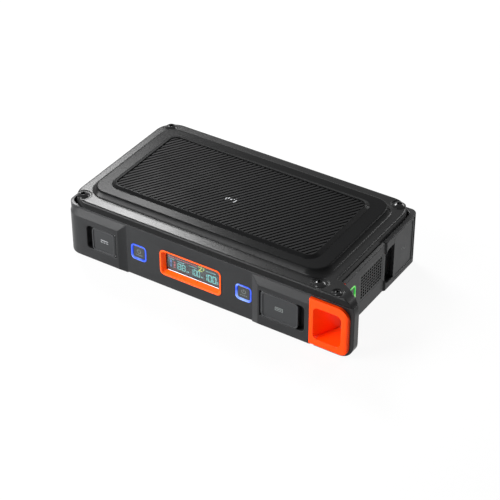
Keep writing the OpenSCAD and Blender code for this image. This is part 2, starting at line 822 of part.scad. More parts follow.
// The mains notch is open towards the front
module ac_notch_mouth() {
    h = ac_cover_h - ac_notch_low - ac_notch_top - 2 * cover_corner_r;
    translate([
        -ac_cover_w - cover_gap - ac_notch_w - ac_pod_bevel - cut,
        (ac_notch_low - ac_notch_top - h) / 2,
        -ac_pod_proud
    ]) cube([ac_pod_bevel + cover_corner_r + 2 * cut, h, ac_pod_proud + cut]);
}

module pin_bore(h, r, reach) {
    long = h + 2 * cover_gap + 2 * reach;
    translate([0, -long / 2, -hinge_depth]) rotate([-90, 0, 0]) cylinder(h = long, r = r);
}

module at_dc_hinge() {
    on_front(dc_hinge_x, front_cover_z, pod_y) children();
}

module at_usb_hinge() {
    on_front(usb_hinge_x, front_cover_z, pod_y) mirror([1, 0, 0]) children();
}

module at_ac_hinge() {
    on_right(ac_hinge_y, ac_cover_z, ac_pod_x) children();
}

// Seat of a side grille, right through the wall
module grille_window() {
    translate([0, 0, -wall_t - cut])
        rounded_block(grille_w + 2 * fit, grille_h + 2 * fit, grille_corner_r + fit, wall_t + 2 * cut);
}

module lower_shell() {
    color("#2b2c2e") in_frame() difference() {
        union() {
            difference() {
                lower_outer();
                lower_hollow();
            }
            intersection() {
                union() {
                    for (p = screw_places)
                        translate([p[0], p[1], floor_z - cut])
                            cylinder(h = seam_z - floor_z + cut, r = post_r);
                    front_backing(dc_notch_x1 - wall_t, dc_hinge_x + barrel_r + wall_t);
                    front_backing(usb_hinge_x - barrel_r - wall_t, usb_notch_x2 + wall_t);
                    side_backing();
                    for (p = board_screw_places)
                        translate([p[0], p[1], floor_z - cut]) cylinder(h = standoff_h + cut, r = standoff_r);
                }
                translate([0, 0, base_z + base_chamfer])
                    rounded_block(
                        housing_w - wall_t, housing_d - wall_t, housing_corner_r - wall_t / 2, seam_z
                    );
            }
        }
        // the corner that the strap loop takes up
        translate([0, 0, -cut]) linear_extrude(seam_z + 2 * cut) loop_plan(liner_t + touch);
        translate([half_w - lip_t - touch, loop_root_y - cut, lip_z1 - touch])
            cube([lip_t + touch + cut, lip_w + cut + touch, seam_z - lip_z1 + 2 * cut]);
        for (p = screw_places)
            translate([p[0], p[1], shelf_z - screw_seat - screw_l - cut])
                cylinder(h = shelf_z, r = screw_r + touch);
        for (p = board_screw_places)
            translate([p[0], p[1], board_z - board_screw_l - touch])
                cylinder(h = board_screw_l + cut, r = board_screw_r + touch);
        for (p = foot_places)
            translate([p[0], p[1], base_z - cut]) cylinder(h = foot_seat + cut, r = foot_r + fit);
        // front openings
        on_front(left_button_x, panel_mid_z, -half_d) ring_hole();
        on_front(right_button_x, panel_mid_z, -half_d) ring_hole();
        on_right(side_button_y, side_button_z, half_w) ring_hole();
        on_front(bezel_x, panel_mid_z, -half_d) translate([0, 0, -wall_t - cut])
            rounded_block(bezel_w + 2 * fit, bezel_h + 2 * fit, bezel_corner_r + fit, wall_t + 2 * cut);
        // covers, their pins and the windows of the sockets behind them
        at_dc_hinge() {
            cover_pocket(dc_cover_w, dc_cover_h, dc_notch_w);
            pin_bore(dc_cover_h, pin_r + touch, pin_reach);
        }
        at_usb_hinge() {
            cover_pocket(usb_cover_w, usb_cover_h, usb_notch_w);
            pin_bore(usb_cover_h, pin_r + touch, pin_reach);
        }
        at_ac_hinge() {
            cover_pocket(ac_cover_w, ac_cover_h, ac_notch_w, ac_notch_low, ac_notch_top);
            ac_notch_mouth();
            pin_bore(ac_cover_h, pin_r + touch, ac_pin_reach);
        }
        for (z = dc_jack_zs)
            on_front(dc_jack_x, z, pocket_floor_y) port_window(dc_jack_w, dc_jack_w, port_corner_r);
        for (z = usb_zs) {
            on_front(usb_a_x, z, pocket_floor_y) port_window(usb_a_w, usb_a_h, usb_a_corner_r);
            on_front(usb_c_x, z, pocket_floor_y) port_window(usb_c_w, usb_c_h, usb_c_corner_r);
        }
        on_right(ac_outlet_y, ac_cover_z, pocket_floor_x)
            port_window(ac_outlet_w, ac_outlet_h, ac_outlet_corner_r);
        // side grilles
        on_right(grille_y, grille_z, half_w) grille_window();
        on_left(-grille_y, grille_z, -half_w) grille_window();
    }
}

// Window for a socket of the given size, from the pocket's floor through the wall
module port_window(w, h, r) {
    translate([0, 0, -port_wall_t - cut])
        rounded_block(w + 2 * fit, h + 2 * fit, r + fit, port_wall_t + 2 * cut);
}

module ring_hole() {
    translate([0, 0, -wall_t - cut])
        rounded_block(ring_w + 2 * fit, ring_h + 2 * fit, ring_corner_r + fit, wall_t + 2 * cut);
}

module upper_outer() {
    band_rise = shelf_z - skin_z;
    foot_corner_r = deck_corner_r + deck_slope;
    band_reach = top_corner_r - wall_t;
    slope_reach = foot_corner_r - wall_t;
    translate([0, 0, skin_z]) edge_sweep(top_w, housing_d, top_corner_r, band_rise, band_reach)
        round_edge_profile(band_reach, band_rise, band_lean, band_edge_r);
    // the shelf runs out over the strap loop
    intersection() {
        translate([0, 0, skin_z]) linear_extrude(band_rise) loop_plan(top_corner_r + wall_t);
        loop_front_outline(base_z, shelf_z, loop_corner_r);
        band_profile(half_w - half_d, loop_x + cut);
    }
    translate([0, 0, shelf_z])
        edge_sweep(deck_foot_w, deck_foot_d, foot_corner_r, deck_rise, slope_reach)
            slope_profile(slope_reach, deck_rise, deck_slope, deck_edge_r, deck_foot_r);
    translate([pad_x, 0, deck_z])
        tapered_block(rim_foot_w, rim_foot_d, rim_corner_r, rim_rise, rim_run);
}

module upper_shell() {
    color("#2b2c2e") in_frame() difference() {
        union() {
            difference() {
                upper_outer();
                translate([0, 0, seam_z - cut])
                    rounded_block(
                        top_w - 2 * (wall_t + band_lean), housing_d - 2 * (wall_t + band_lean),
                        top_corner_r - wall_t - band_lean, band_h - wall_t + cut
                    );
                translate([0, 0, seam_z])
                    rounded_block(deck_hollow_w, deck_hollow_d, deck_corner_r - wall_t, ceiling_z - seam_z);
            }
            for (p = screw_places)
                translate([p[0], p[1], seam_z + touch]) cylinder(h = band_h - wall_t + cut, r = post_r);
        }
        translate([pad_x, 0, pad_z])
            rounded_block(
                pad_w + 2 * pad_gap, pad_d + 2 * pad_gap, pad_corner_r + pad_gap, rim_z - pad_z + cut
            );
        for (p = screw_places) translate([p[0], p[1], 0]) {
            translate([0, 0, seam_z - cut]) cylinder(h = band_h + 2 * cut, r = screw_r + fit);
            translate([0, 0, shelf_z - screw_seat]) cylinder(h = deck_rise, r = screw_head_r + screw_ring);
        }
        translate([loop_screw_x, loop_screw_y, 0]) {
            translate([0, 0, seam_z - cut]) cylinder(h = band_h + 2 * cut, r = loop_screw_r + fit);
            translate([0, 0, shelf_z - screw_seat])
            cylinder(h = deck_rise, r = loop_screw_head_r + screw_ring);
        }
    }
}

// ---------- Strap loop ----------

// Black frame of the loop: floor bar, outer post and the bar under the shelf
module loop_frame() {
    color("#232426") in_frame() difference() {
        union() {
            intersection() {
                translate([0, 0, base_z]) linear_extrude(seam_z - base_z) loop_plan(liner_t);
                loop_front_outline(base_z, shelf_z, loop_corner_r);
                band_profile(half_w - half_d, loop_x + cut);
            }
            translate([loop_screw_x, loop_screw_y, seam_z - cut])
                cylinder(h = seam_gap - touch + cut, r = 2 * loop_screw_r);
        }
        strap_tunnel(liner_t + touch);
        translate([loop_screw_x, loop_screw_y, shelf_z - screw_seat - loop_screw_l - cut])
            cylinder(h = shelf_z, r = loop_screw_r + touch);
    }
}

// Orange liner: front plate, sleeve through the frame and a lip on the housing's side
module loop_liner() {
    color("#ff5a10") in_frame() difference() {
        union() {
            liner_plate();
            intersection() {
                strap_tunnel(liner_t);
                translate([0, 0, base_z]) linear_extrude(seam_z) difference() {
                    loop_plan(liner_t);
                    translate([0, -housing_d - half_d - pod_proud / 2]) square([2 * housing_w, housing_d]);
                }
            }
            // rear lip, joined to the sleeve's slanted wall
            intersection() {
                translate([half_w - lip_t, loop_root_y + touch, lip_z1])
                    cube([lip_t, lip_w - touch, seam_z - touch - lip_z1]);
                bevelled_sides();
            }
            translate([half_w - lip_t, loop_root_y - lip_t, opening_z - liner_t])
                cube([lip_t, lip_w + lip_t, opening_h + 2 * liner_t]);
        }
        strap_tunnel(0);
    }
}

// Plate outline with square left corners and round right ones
module plate_outline() {
    low_r = plate_low_r;
    high_r = plate_corner_r;
    polygon([
        [plate_left, plate_z1], [plate_x2 - low_r, plate_z1], [plate_x2 - low_r, plate_z1 + low_r],
        [plate_x2, plate_z1 + low_r], [plate_x2, plate_z2 - high_r], [plate_x2 - high_r, plate_z2 - high_r],
        [plate_x2 - high_r, plate_z2], [plate_left, plate_z2]
    ]);
    translate([plate_x2 - low_r, plate_z1 + low_r]) circle(low_r);
    translate([plate_x2 - high_r, plate_z2 - high_r]) circle(high_r);
}

// The plate's right edge is rolled over from its full thickness
module liner_plate() {
    thick = pod_proud - touch;
    intersection() {
        translate([0, -half_d - touch, 0]) rotate([90, 0, 0]) linear_extrude(thick) plate_outline();
        linear_extrude(shelf_z) {
            translate([0, pod_y]) square([plate_x2 - thick, thick]);
            translate([plate_x2 - thick, -half_d - touch]) circle(thick);
        }
    }
}

module charging_pad() {
    color("#1d1e20") in_frame() translate([pad_x, 0, 0]) difference() {
        translate([0, 0, pad_z]) rounded_block(pad_w, pad_d, pad_corner_r, pad_top_z - pad_z);
        translate([0, 0, pad_top_z - rib_h]) rib_grooves();
    }
}

// Straight grooves that run right across the pad at the ribs' angle
module rib_grooves() {
    reach = sqrt(pad_w * pad_w + pad_d * pad_d) / 2;
    side = (pad_w * sin(rib_angle) + pad_d * cos(rib_angle)) / 2;
    count = floor(side / rib_pitch);
    rotate([0, 0, rib_angle])
        for (i = [-count : count])
            translate([-reach, i * rib_pitch - rib_groove_w / 2, 0])
                cube([2 * reach, rib_groove_w, rib_h + cut]);
}

// ---------- Fasteners and feet ----------

// A domed socket screw that hangs down from Z = 0
module dome_screw(head_r, head_h, shank_r, shank_l, hex_r, hex_depth) {
    dome_r = (head_r * head_r + head_h * head_h) / (2 * head_h) * dome_fullness;
    difference() {
        intersection() {
            cylinder(h = head_h, r = head_r);
            translate([0, 0, head_h - dome_r]) sphere(dome_r);
        }
        translate([0, 0, head_h - hex_depth]) cylinder(h = hex_depth + cut, r = hex_r, $fn = 6);
    }
    translate([0, 0, -shank_l]) cylinder(h = shank_l + touch, r = shank_r);
}

module cover_screws() {
    color("#1a1b1d") in_frame() for (p = screw_places)
        translate([p[0], p[1], shelf_z - screw_seat + touch])
            dome_screw(screw_head_r, screw_head_h, screw_r, screw_l, screw_hex_r, screw_hex_depth);
}

module loop_screw() {
    color("#1a1b1d") in_frame() translate([loop_screw_x, loop_screw_y, shelf_z - screw_seat + touch])
        dome_screw(
            loop_screw_head_r, loop_screw_head_h, loop_screw_r,
            loop_screw_l, loop_screw_hex_r, loop_screw_hex_depth
        );
}

module rubber_feet() {
    color("#18191a") in_frame() for (p = foot_places) translate([p[0], p[1], 0]) {
        cylinder(h = foot_edge, r1 = foot_r - foot_edge, r2 = foot_r);
        translate([0, 0, foot_edge]) cylinder(h = foot_proud + foot_seat - touch - foot_edge, r = foot_r);
    }
}

// ---------- Grilles ----------

module grille() {
    pitch_x = (grille_w - 2 * grille_border) / grille_columns;
    pitch_y = (grille_h - 2 * grille_border) / grille_rows;
    difference() {
        translate([0, 0, -wall_t]) rounded_block(grille_w, grille_h, grille_corner_r, wall_t);
        for (i = [0 : grille_columns - 1], j = [0 : grille_rows - 1])
            translate([
                (i + 0.5) * pitch_x - grille_w / 2 + grille_border,
                (j + 0.5) * pitch_y - grille_h / 2 + grille_border,
                -wall_t / 2
            ]) cube([pitch_x * grille_open, pitch_y * grille_open, wall_t + 2 * cut], center = true);
    }
}

module exhaust_grille() {
    color("#1c1d1f") in_frame() on_right(grille_y, grille_z, half_w) grille();
}

module intake_grille() {
    color("#1c1d1f") in_frame() on_left(-grille_y, grille_z, -half_w) grille();
}

// ---------- Display ----------

module display_bezel() {
    depth = window_depth + lens_t + bezel_proud;
    color("#ff4a10") in_frame() on_front(bezel_x, panel_mid_z, -half_d) difference() {
        translate([0, 0, bezel_proud - depth]) rounded_block(bezel_w, bezel_h, bezel_corner_r, depth);
        // funnel down to the window
        translate([0, 0, bezel_proud + touch]) mirror([0, 0, 1])
            tapered_block(
                bezel_w - 2 * bezel_rim, bezel_h - 2 * bezel_rim, bezel_corner_r - bezel_rim,
                window_depth + bezel_proud + 2 * touch, bezel_taper
            );
        translate([0, 0, -window_depth - lens_t - cut])
            rounded_block(window_w + 2 * fit, window_h + 2 * fit, window_corner_r, lens_t + cut);
    }
}

module display_window() {
    color("#303438") in_frame() on_front(bezel_x, panel_mid_z, -half_d)
        translate([0, 0, -window_depth - lens_t])
            rounded_block(window_w, window_h, window_corner_r - fit, lens_t - touch);
}

module display_module() {
    color("#3a3f44") in_frame() on_front(bezel_x, panel_mid_z, -half_d)
        translate([-window_w / 2, -window_h / 2, touch - front_board_depth])
            cube([window_w, window_h, front_board_depth - window_depth - lens_t - 2 * touch]);
}

// ---------- Buttons ----------

// A light ring: square tube with a rounded outline, set into the panel; local Z points outwards
module light_ring() {
    difference() {
        translate([0, 0, -ring_l]) rounded_block(ring_w, ring_h, ring_corner_r, ring_l + ring_proud);
        translate([0, 0, -ring_l - cut])
            rounded_block(
                ring_w - 2 * ring_band, ring_h - 2 * ring_band, ring_corner_r - ring_band, ring_l + 2 * cut
            );
    }
}

// A button cap that slides in its ring, with a flange behind the ring
module push_button() {
    w = ring_w - 2 * (ring_band + cap_gap);
    h = ring_h - 2 * (ring_band + cap_gap);
    r = ring_corner_r - ring_band - cap_gap;
    body = ring_l + cap_gap - cap_sink;
    translate([0, 0, -cap_sink - cap_edge])
        tapered_block(w, h, r, cap_edge, cap_edge);
    translate([0, 0, -cap_sink - body - flange_t]) rounded_block(w, h, r, body + flange_t - cap_edge);
    translate([0, 0, -cap_sink - body - flange_t])
        rounded_block(w + 2 * flange_w, h + 2 * flange_w, r + flange_w, flange_t);
}

module at_left_button() {
    in_frame() on_front(left_button_x, panel_mid_z, -half_d) children();
}

module at_right_button() {
    in_frame() on_front(right_button_x, panel_mid_z, -half_d) children();
}

module at_side_button() {
    in_frame() on_right(side_button_y, side_button_z, half_w) children();
}

module dc_button() {
    color("#1e1f21") at_left_button() push_button();
}

module usb_button() {
    color("#1e1f21") at_right_button() push_button();
}

module ac_button() {
    color("#1e1f21") at_side_button() push_button();
}

module dc_light_ring() {
    color("#2f6bff") at_left_button() light_ring();
}

module usb_light_ring() {
    color("#2f6bff") at_right_button() light_ring();
}

module ac_light_ring() {
    color("#35d04a") at_side_button() light_ring();
}

// A tact switch on its board: body and the plunger that the button pushes
module tact_switch() {
    translate([-switch_w / 2, -switch_w / 2, touch - front_board_depth])
        cube([switch_w, switch_w, switch_h]);
    translate([0, 0, touch - front_board_depth]) cylinder(h = switch_h + plunger_h, r = plunger_r);
}

module button_switches() {
    color("#8b8f94") {
        at_left_button() tact_switch();
        at_right_button() tact_switch();
        at_side_button() tact_switch();
    }
}

// ---------- Socket covers ----------

// A cover with its hinge line at X = 0, free edge at -w, outer face at Z = 0
module socket_cover(w, h) {
    difference() {
        union() {
            translate([0, 0, -cover_t]) linear_extrude(cover_t) intersection() {
                cover_outline(-w, barrel_r, h, cover_corner_r);
                translate([-w, -h / 2]) square([w, h]);
            }
            // the barrel's ends are turned to the same round corners
            translate([0, 0, -hinge_depth]) rotate([-90, 0, 0]) rotate_extrude() intersection() {
                cover_outline(-w, barrel_r, h, cover_corner_r);
                translate([0, -h / 2]) square([barrel_r, h]);
            }
        }
        // the field inside the bead is sunk
        translate([0, 0, -bead_h]) linear_extrude(bead_h + cut)
            cover_outline(bead_w - w, -bead_w, h - 2 * bead_w, cover_corner_r - bead_w);
        translate([0, -h / 2 - cut, -hinge_depth]) rotate([-90, 0, 0])
            cylinder(h = h + 2 * cut, r = pin_r + pin_gap);
    }
}

module hinge_pin(h, reach) {
    long = h + 2 * cover_gap + 2 * reach - 2 * fit;
    translate([0, -long / 2, -hinge_depth]) rotate([-90, 0, 0]) cylinder(h = long, r = pin_r);
}

module dc_cover() {
    color("#212224") in_frame() at_dc_hinge() socket_cover(dc_cover_w, dc_cover_h);
}

module usb_cover() {
    color("#212224") in_frame() at_usb_hinge() socket_cover(usb_cover_w, usb_cover_h);
}

module ac_cover() {
    color("#212224") in_frame() at_ac_hinge() socket_cover(ac_cover_w, ac_cover_h);
}

module dc_hinge_pin() {
    color("#b9bcc0") in_frame() at_dc_hinge() hinge_pin(dc_cover_h, pin_reach);
}

module usb_hinge_pin() {
    color("#b9bcc0") in_frame() at_usb_hinge() hinge_pin(usb_cover_h, pin_reach);
}

module ac_hinge_pin() {
    color("#b9bcc0") in_frame() at_ac_hinge() hinge_pin(ac_cover_h, ac_pin_reach);
}

// ---------- Sockets ----------

// Body of a socket: its face is at Z = 0 and it runs back to its board
module socket_body(w, h, r, depth) {
    translate([0, 0, -depth]) rounded_block(w, h, r, depth);
}

module dc_jacks() {
    color("#141516") in_frame() for (z = dc_jack_zs) on_front(dc_jack_x, z, pocket_floor_y) {
        difference() {
            socket_body(dc_jack_w, dc_jack_w, port_corner_r, port_l);
            translate([0, 0, -port_hole_l]) cylinder(h = port_hole_l + cut, r = dc_jack_hole_r);
        }
        translate([0, 0, -port_l / 2 - port_hole_l / 2]) cylinder(h = port_l / 2, r = dc_jack_pin_r);
    }
}

module usb_a_ports() {
    color("#c9ccd0") in_frame() for (z = usb_zs) on_front(usb_a_x, z, pocket_floor_y) {
        difference() {
            socket_body(usb_a_w, usb_a_h, usb_a_corner_r, port_l);
            translate([0, 0, -port_hole_l])
                rounded_block(
                    usb_a_w - 2 * port_shell_t, usb_a_h - 2 * port_shell_t,
                    usb_a_corner_r / 2, port_hole_l + cut
                );
        }
        // contact tongue in the upper half
        translate([-usb_a_tongue_w / 2, usb_a_tongue_y, -port_hole_l - touch])
            cube([usb_a_tongue_w, usb_a_tongue_t, port_hole_l - port_recess]);
    }
}

module usb_c_ports() {
    color("#c9ccd0") in_frame() for (z = usb_zs) on_front(usb_c_x, z, pocket_floor_y) {
        difference() {
            socket_body(usb_c_w, usb_c_h, usb_c_corner_r, port_l);
            translate([0, 0, -port_hole_l])
                rounded_block(
                    usb_c_w - 2 * usb_c_shell_t, usb_c_h - 2 * usb_c_shell_t,
                    usb_c_corner_r - usb_c_shell_t, port_hole_l + cut
                );
        }
        translate([-usb_c_tongue_w / 2, -usb_c_tongue_t / 2, -port_hole_l - touch])
            cube([usb_c_tongue_w, usb_c_tongue_t, port_hole_l - port_recess]);
    }
}

// Mains outlet: two flat slots and a round earth hole
module ac_outlet() {
    color("#17181a") in_frame() on_right(ac_outlet_y, ac_cover_z, pocket_floor_x) difference() {
        socket_body(ac_outlet_w, ac_outlet_h, ac_outlet_corner_r, ac_outlet_d);
        for (side = [-1, 1])
            translate([side * ac_slot_gap, ac_slot_y, -ac_slot_l / 2])
                cube([ac_slot_w, ac_slot_h, ac_slot_l + cut], center = true);
        translate([0, ac_earth_y, -ac_slot_l]) cylinder(h = ac_slot_l + cut, r = ac_earth_r);
    }
}

// ---------- Boards ----------

// An upright board behind the front panel, with its front face at the given Y
module front_plate(x1, x2, z1, z2, face_y) {
    translate([x1, face_y, z1]) cube([x2 - x1, board_t, z2 - z1]);
}

module front_board() {
    color("#1f5a35") in_frame()
        front_plate(
            -front_board_w / 2, front_board_w / 2, board_low_z, board_high_z, front_board_depth - half_d
        );
}

module side_board() {
    color("#1f5a35") in_frame()
        translate([
            half_w - front_board_depth - board_t,
            side_button_y - side_board_w / 2,
            side_button_z - side_board_w / 2
        ]) cube([board_t, side_board_w, side_board_w]);
}

module port_boards() {
    face_y = pocket_floor_y + port_l + touch;
    color("#1f5a35") in_frame() {
        front_plate(dc_notch_x1, dc_hinge_x, board_low_z, port_board_z, face_y);
        front_plate(usb_hinge_x, usb_notch_x2 - wall_t, board_low_z, port_board_z, face_y);
    }
}

// ---------- Battery ----------

module battery_cells() {
    color("#2f6fb0") in_frame() for (x = block_xs, y = cell_ys, z = row_zs)
        translate([x, y, z]) rotate([0, 90, 0]) {
            cylinder(h = cell_l - cell_cap_h, r = cell_r);
            cylinder(h = cell_l, r = cell_cap_r);
        }
}

module cell_holders() {
    color("#3b3d40") in_frame() difference() {
        for (x = block_xs, end = [0, cell_l - holder_t])
            translate([x + end, battery_y - holder_d / 2, floor_z + touch])
                cube([holder_t, holder_d, holder_top - floor_z - touch]);
        for (y = cell_ys, z = row_zs)
            translate([battery_x - cut, y, z]) rotate([0, 90, 0])
                cylinder(h = 2 * cell_l + block_gap + 2 * cut, r = cell_r + cell_fit);
    }
}

// Nickel strips that join the ends of the cells
module cell_tabs() {
    color("#c5c8cc") in_frame() for (x = block_xs, end = [-tab_t - touch, cell_l + touch], y = cell_ys)
        translate([x + end, y - tab_w / 2, row_zs[0] - tab_w / 2])
            cube([tab_t, tab_w, row_zs[1] - row_zs[0] + tab_w]);
}

module battery_board() {
    color("#1f5a35") in_frame() {
        translate([battery_x, battery_y - battery_board_d / 2, holder_top + touch])
            cube([battery_board_w, battery_board_d, board_t]);
        for (i = [0 : chip_count - 1])
            translate([
                battery_x + (i + 0.5) * battery_board_w / chip_count - chip_w / 2,
                battery_y - chip_w / 2,
                holder_top + board_t
            ]) cube([chip_w, chip_w, chip_h]);
    }
}

// ---------- Wireless charger ----------

module charging_coil() {
    color("#b5651d") in_frame() translate([0, 0, ceiling_z - touch - coil_t]) difference() {
        cylinder(h = coil_t, r = coil_r);
        translate([0, 0, -cut]) cylinder(h = coil_t + 2 * cut, r = coil_hole_r);
    }
}

module coil_ferrite() {
    color("#4a4a4c") in_frame()
        translate([-ferrite_w / 2, -ferrite_w / 2, ceiling_z - 2 * touch - coil_t - ferrite_t])
            cube([ferrite_w, ferrite_w, ferrite_t]);
}

// ---------- Inverter ----------

module inverter_board() {
    color("#1f5a35") in_frame() difference() {
        translate([board_x - inverter_board_w / 2, board_y - inverter_board_d / 2, board_z])
            cube([inverter_board_w, inverter_board_d, board_t]);
        for (p = board_screw_places)
            translate([p[0], p[1], board_z - cut]) cylinder(h = board_t + 2 * cut, r = board_screw_r + fit);
    }
}

module board_screws() {
    color("#b9bcc0") in_frame() for (p = board_screw_places) translate([p[0], p[1], board_top_z + touch]) {
        difference() {
            cylinder(h = board_screw_head_h, r = board_screw_head_r);
            translate([0, 0, board_screw_head_h / 2])
                cylinder(h = board_screw_head_h, r = board_screw_head_r / 2, $fn = 6);
        }
        translate([0, 0, -board_t - board_screw_l])
            cylinder(h = board_t + board_screw_l + touch, r = board_screw_r);
    }
}

module on_board(x, y) {
    in_frame() translate([board_x + x, board_y + y, board_top_z + touch]) children();
}

module inverter_transformer() {
    color("#c9b458") on_board(0, transformer_y) {
        translate([-transformer_w / 2, -transformer_d / 2, 0])
            cube([transformer_w, transformer_d, transformer_core_t]);
        translate([-transformer_w / 2, -transformer_d / 2, transformer_h - transformer_core_t])
            cube([transformer_w, transformer_d, transformer_core_t]);
        cylinder(h = transformer_h - cut, r = transformer_d / 2 - cut);
    }
}

module inverter_choke() {
    color("#b5651d") on_board(choke_x, choke_y) translate([0, 0, choke_wire_r]) rotate_extrude()
        translate([choke_r, 0]) circle(choke_wire_r);
}

module filter_capacitors() {
    color("#27405f") for (x = capacitor_xs) on_board(x, capacitor_y) {
        cylinder(h = capacitor_h, r = capacitor_r);
    }
}

module heat_sink() {
    pitch = heat_sink_d / heat_sink_fins;
    color("#9aa0a6") on_board(heat_sink_x, heat_sink_y) {
        translate([-heat_sink_w / 2, -heat_sink_d / 2, 0]) cube([heat_sink_base_t, heat_sink_d, heat_sink_h]);
        for (i = [0 : heat_sink_fins - 1])
            translate([-heat_sink_w / 2, (i + 0.25) * pitch - heat_sink_d / 2, 0])
                cube([heat_sink_w, pitch / 2, heat_sink_h]);
    }
}

// ---------- Fan ----------

// Local axes of the fan: Z points outwards through the grille, frame between -fan_d and 0
module at_fan() {
    in_frame() on_right(grille_y, grille_z, side_inner_x - fan_seat) children();
}

module fan_frame() {
    color("#1a1a1c") at_fan() {
        difference() {
            translate([-fan_w / 2, -fan_w / 2, -fan_d]) cube([fan_w, fan_w, fan_d]);
            translate([0, 0, -fan_d - cut]) cylinder(h = fan_d + 2 * cut, r = fan_bore_r);
        }
        // spider that carries the bearing
        difference() {
            union() {
                translate([0, 0, -fan_d]) cylinder(h = fan_plate_t, r = fan_hub_r);
                for (a = [0, 120, 240]) rotate([0, 0, a]) translate([0, -fan_strut_w / 2, -fan_d])
                    cube([fan_bore_r + cut, fan_strut_w, fan_plate_t]);
            }
            translate([0, 0, -fan_d - cut])
                cylinder(h = fan_plate_t + 2 * cut, r = fan_shaft_r + fan_shaft_gap);
        }
    }
}

module fan_rotor() {
    back = fan_plate_t + rotor_gap - fan_d;
    color("#232325") at_fan() {
        translate([0, 0, back]) cylinder(h = -rotor_gap - back, r = fan_hub_r);
        translate([0, 0, -fan_d]) cylinder(h = fan_plate_t + rotor_gap + cut, r = fan_shaft_r);
        intersection() {
            translate([0, 0, back]) cylinder(h = -rotor_gap - back, r = fan_bore_r - fan_gap);
            for (i = [0 : fan_blades - 1]) rotate([0, 0, i * 360 / fan_blades])
                translate([fan_hub_r - cut, 0, (back - rotor_gap) / 2]) rotate([blade_tilt, 0, 0])
                    translate([0, -blade_chord / 2, -blade_t / 2]) cube([fan_bore_r, blade_chord, blade_t]);
        }
    }
}

lower_shell();
upper_shell();
loop_frame();
loop_liner();
charging_pad();
cover_screws();
loop_screw();
rubber_feet();
exhaust_grille();
intake_grille();
display_bezel();
display_window();
display_module();
dc_button();
usb_button();
ac_button();
dc_light_ring();
usb_light_ring();
ac_light_ring();
dc_cover();
usb_cover();
ac_cover();
dc_hinge_pin();
usb_hinge_pin();
ac_hinge_pin();
dc_jacks();
usb_a_ports();
usb_c_ports();
ac_outlet();
front_board();
side_board();
port_boards();
button_switches();
battery_cells();
cell_holders();
cell_tabs();
battery_board();
charging_coil();
coil_ferrite();
inverter_board();
inverter_transformer();
inverter_choke();
filter_capacitors();
heat_sink();
board_screws();
fan_frame();
fan_rotor();
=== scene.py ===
import math
import bpy
import bmesh
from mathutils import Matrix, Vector


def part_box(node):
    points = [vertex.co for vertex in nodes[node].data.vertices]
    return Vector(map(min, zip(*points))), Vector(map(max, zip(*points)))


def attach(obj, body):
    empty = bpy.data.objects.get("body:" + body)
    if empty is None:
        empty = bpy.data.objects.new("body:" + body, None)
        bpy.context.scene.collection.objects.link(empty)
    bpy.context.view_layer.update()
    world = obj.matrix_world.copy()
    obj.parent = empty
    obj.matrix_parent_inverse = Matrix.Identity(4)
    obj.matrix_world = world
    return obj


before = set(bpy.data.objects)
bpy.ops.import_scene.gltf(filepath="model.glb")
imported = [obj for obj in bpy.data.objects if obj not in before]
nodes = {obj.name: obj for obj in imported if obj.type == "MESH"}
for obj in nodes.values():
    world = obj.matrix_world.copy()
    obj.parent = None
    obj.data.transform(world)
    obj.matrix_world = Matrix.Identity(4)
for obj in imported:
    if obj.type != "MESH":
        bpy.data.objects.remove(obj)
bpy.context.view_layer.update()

MM = 0.001

# noise scales per metre: slow mottling, smears in the roughness, patches of light in a lit ring
MOTTLE_SCALE = 18.0
SMEAR_SCALE = 55.0
PATCH_SCALE = 130.0
NOISE_LOW, NOISE_HIGH = 0.3, 0.7     # the range that a noise texture mostly fills
GRAIN_DEPTH = 0.0002                 # in metres
WORN_FROM, WORN_TO = 0.52, 0.6       # pointiness at which wear starts and is complete


# ---------------------------------------------------------------- node graphs
def srgb(r, g, b):
    """Display values from 0 to 255 as a linear colour."""
    def one(c):
        c = c / 255.0
        return c / 12.92 if c <= 0.04045 else ((c + 0.055) / 1.055) ** 2.4
    return (one(r), one(g), one(b), 1.0)


def grey(v):
    return (v, v, v, 1.0)


class Graph:
    """A small wrapper round a node tree."""

    def __init__(self, tree):
        self.t = tree
        self.n = tree.nodes

    def node(self, kind, **values):
        made = self.n.new(kind)
        for key, value in values.items():
            setattr(made, key, value)
        return made

    def link(self, a, b):
        self.t.links.new(a, b)

    def math(self, op, a, b=None, clamp=False):
        m = self.node("ShaderNodeMath", operation=op, use_clamp=clamp)
        for i, v in enumerate((a, b)):
            if v is None:
                continue
            if isinstance(v, (int, float)):
                m.inputs[i].default_value = v
            else:
                self.link(v, m.inputs[i])
        return m.outputs[0]

    def mix(self, fac, a, b):
        m = self.node("ShaderNodeMix", data_type="RGBA")
        for i, v in ((0, fac), (6, a), (7, b)):
            if isinstance(v, (int, float, tuple)):
                m.inputs[i].default_value = v
            else:
                self.link(v, m.inputs[i])
        return m.outputs[2]

    def ramp(self, value, lo, hi, out_lo=0.0, out_hi=1.0):
        m = self.node("ShaderNodeMapRange")
        self.link(value, m.inputs[0])
        for i, v in enumerate((lo, hi, out_lo, out_hi), 1):
            m.inputs[i].default_value = v
        return m.outputs[0]

    def noise(self, scale, detail=2.0, rough=0.5, where=None):
        m = self.node("ShaderNodeTexNoise")
        m.inputs["Scale"].default_value = scale
        m.inputs["Detail"].default_value = detail
        m.inputs["Roughness"].default_value = rough
        self.link(where or self.place(), m.inputs["Vector"])
        return m.outputs[0]

    def place(self):
        if not hasattr(self, "_place"):
            self._place = self.node("ShaderNodeTexCoord").outputs["Object"]
        return self._place


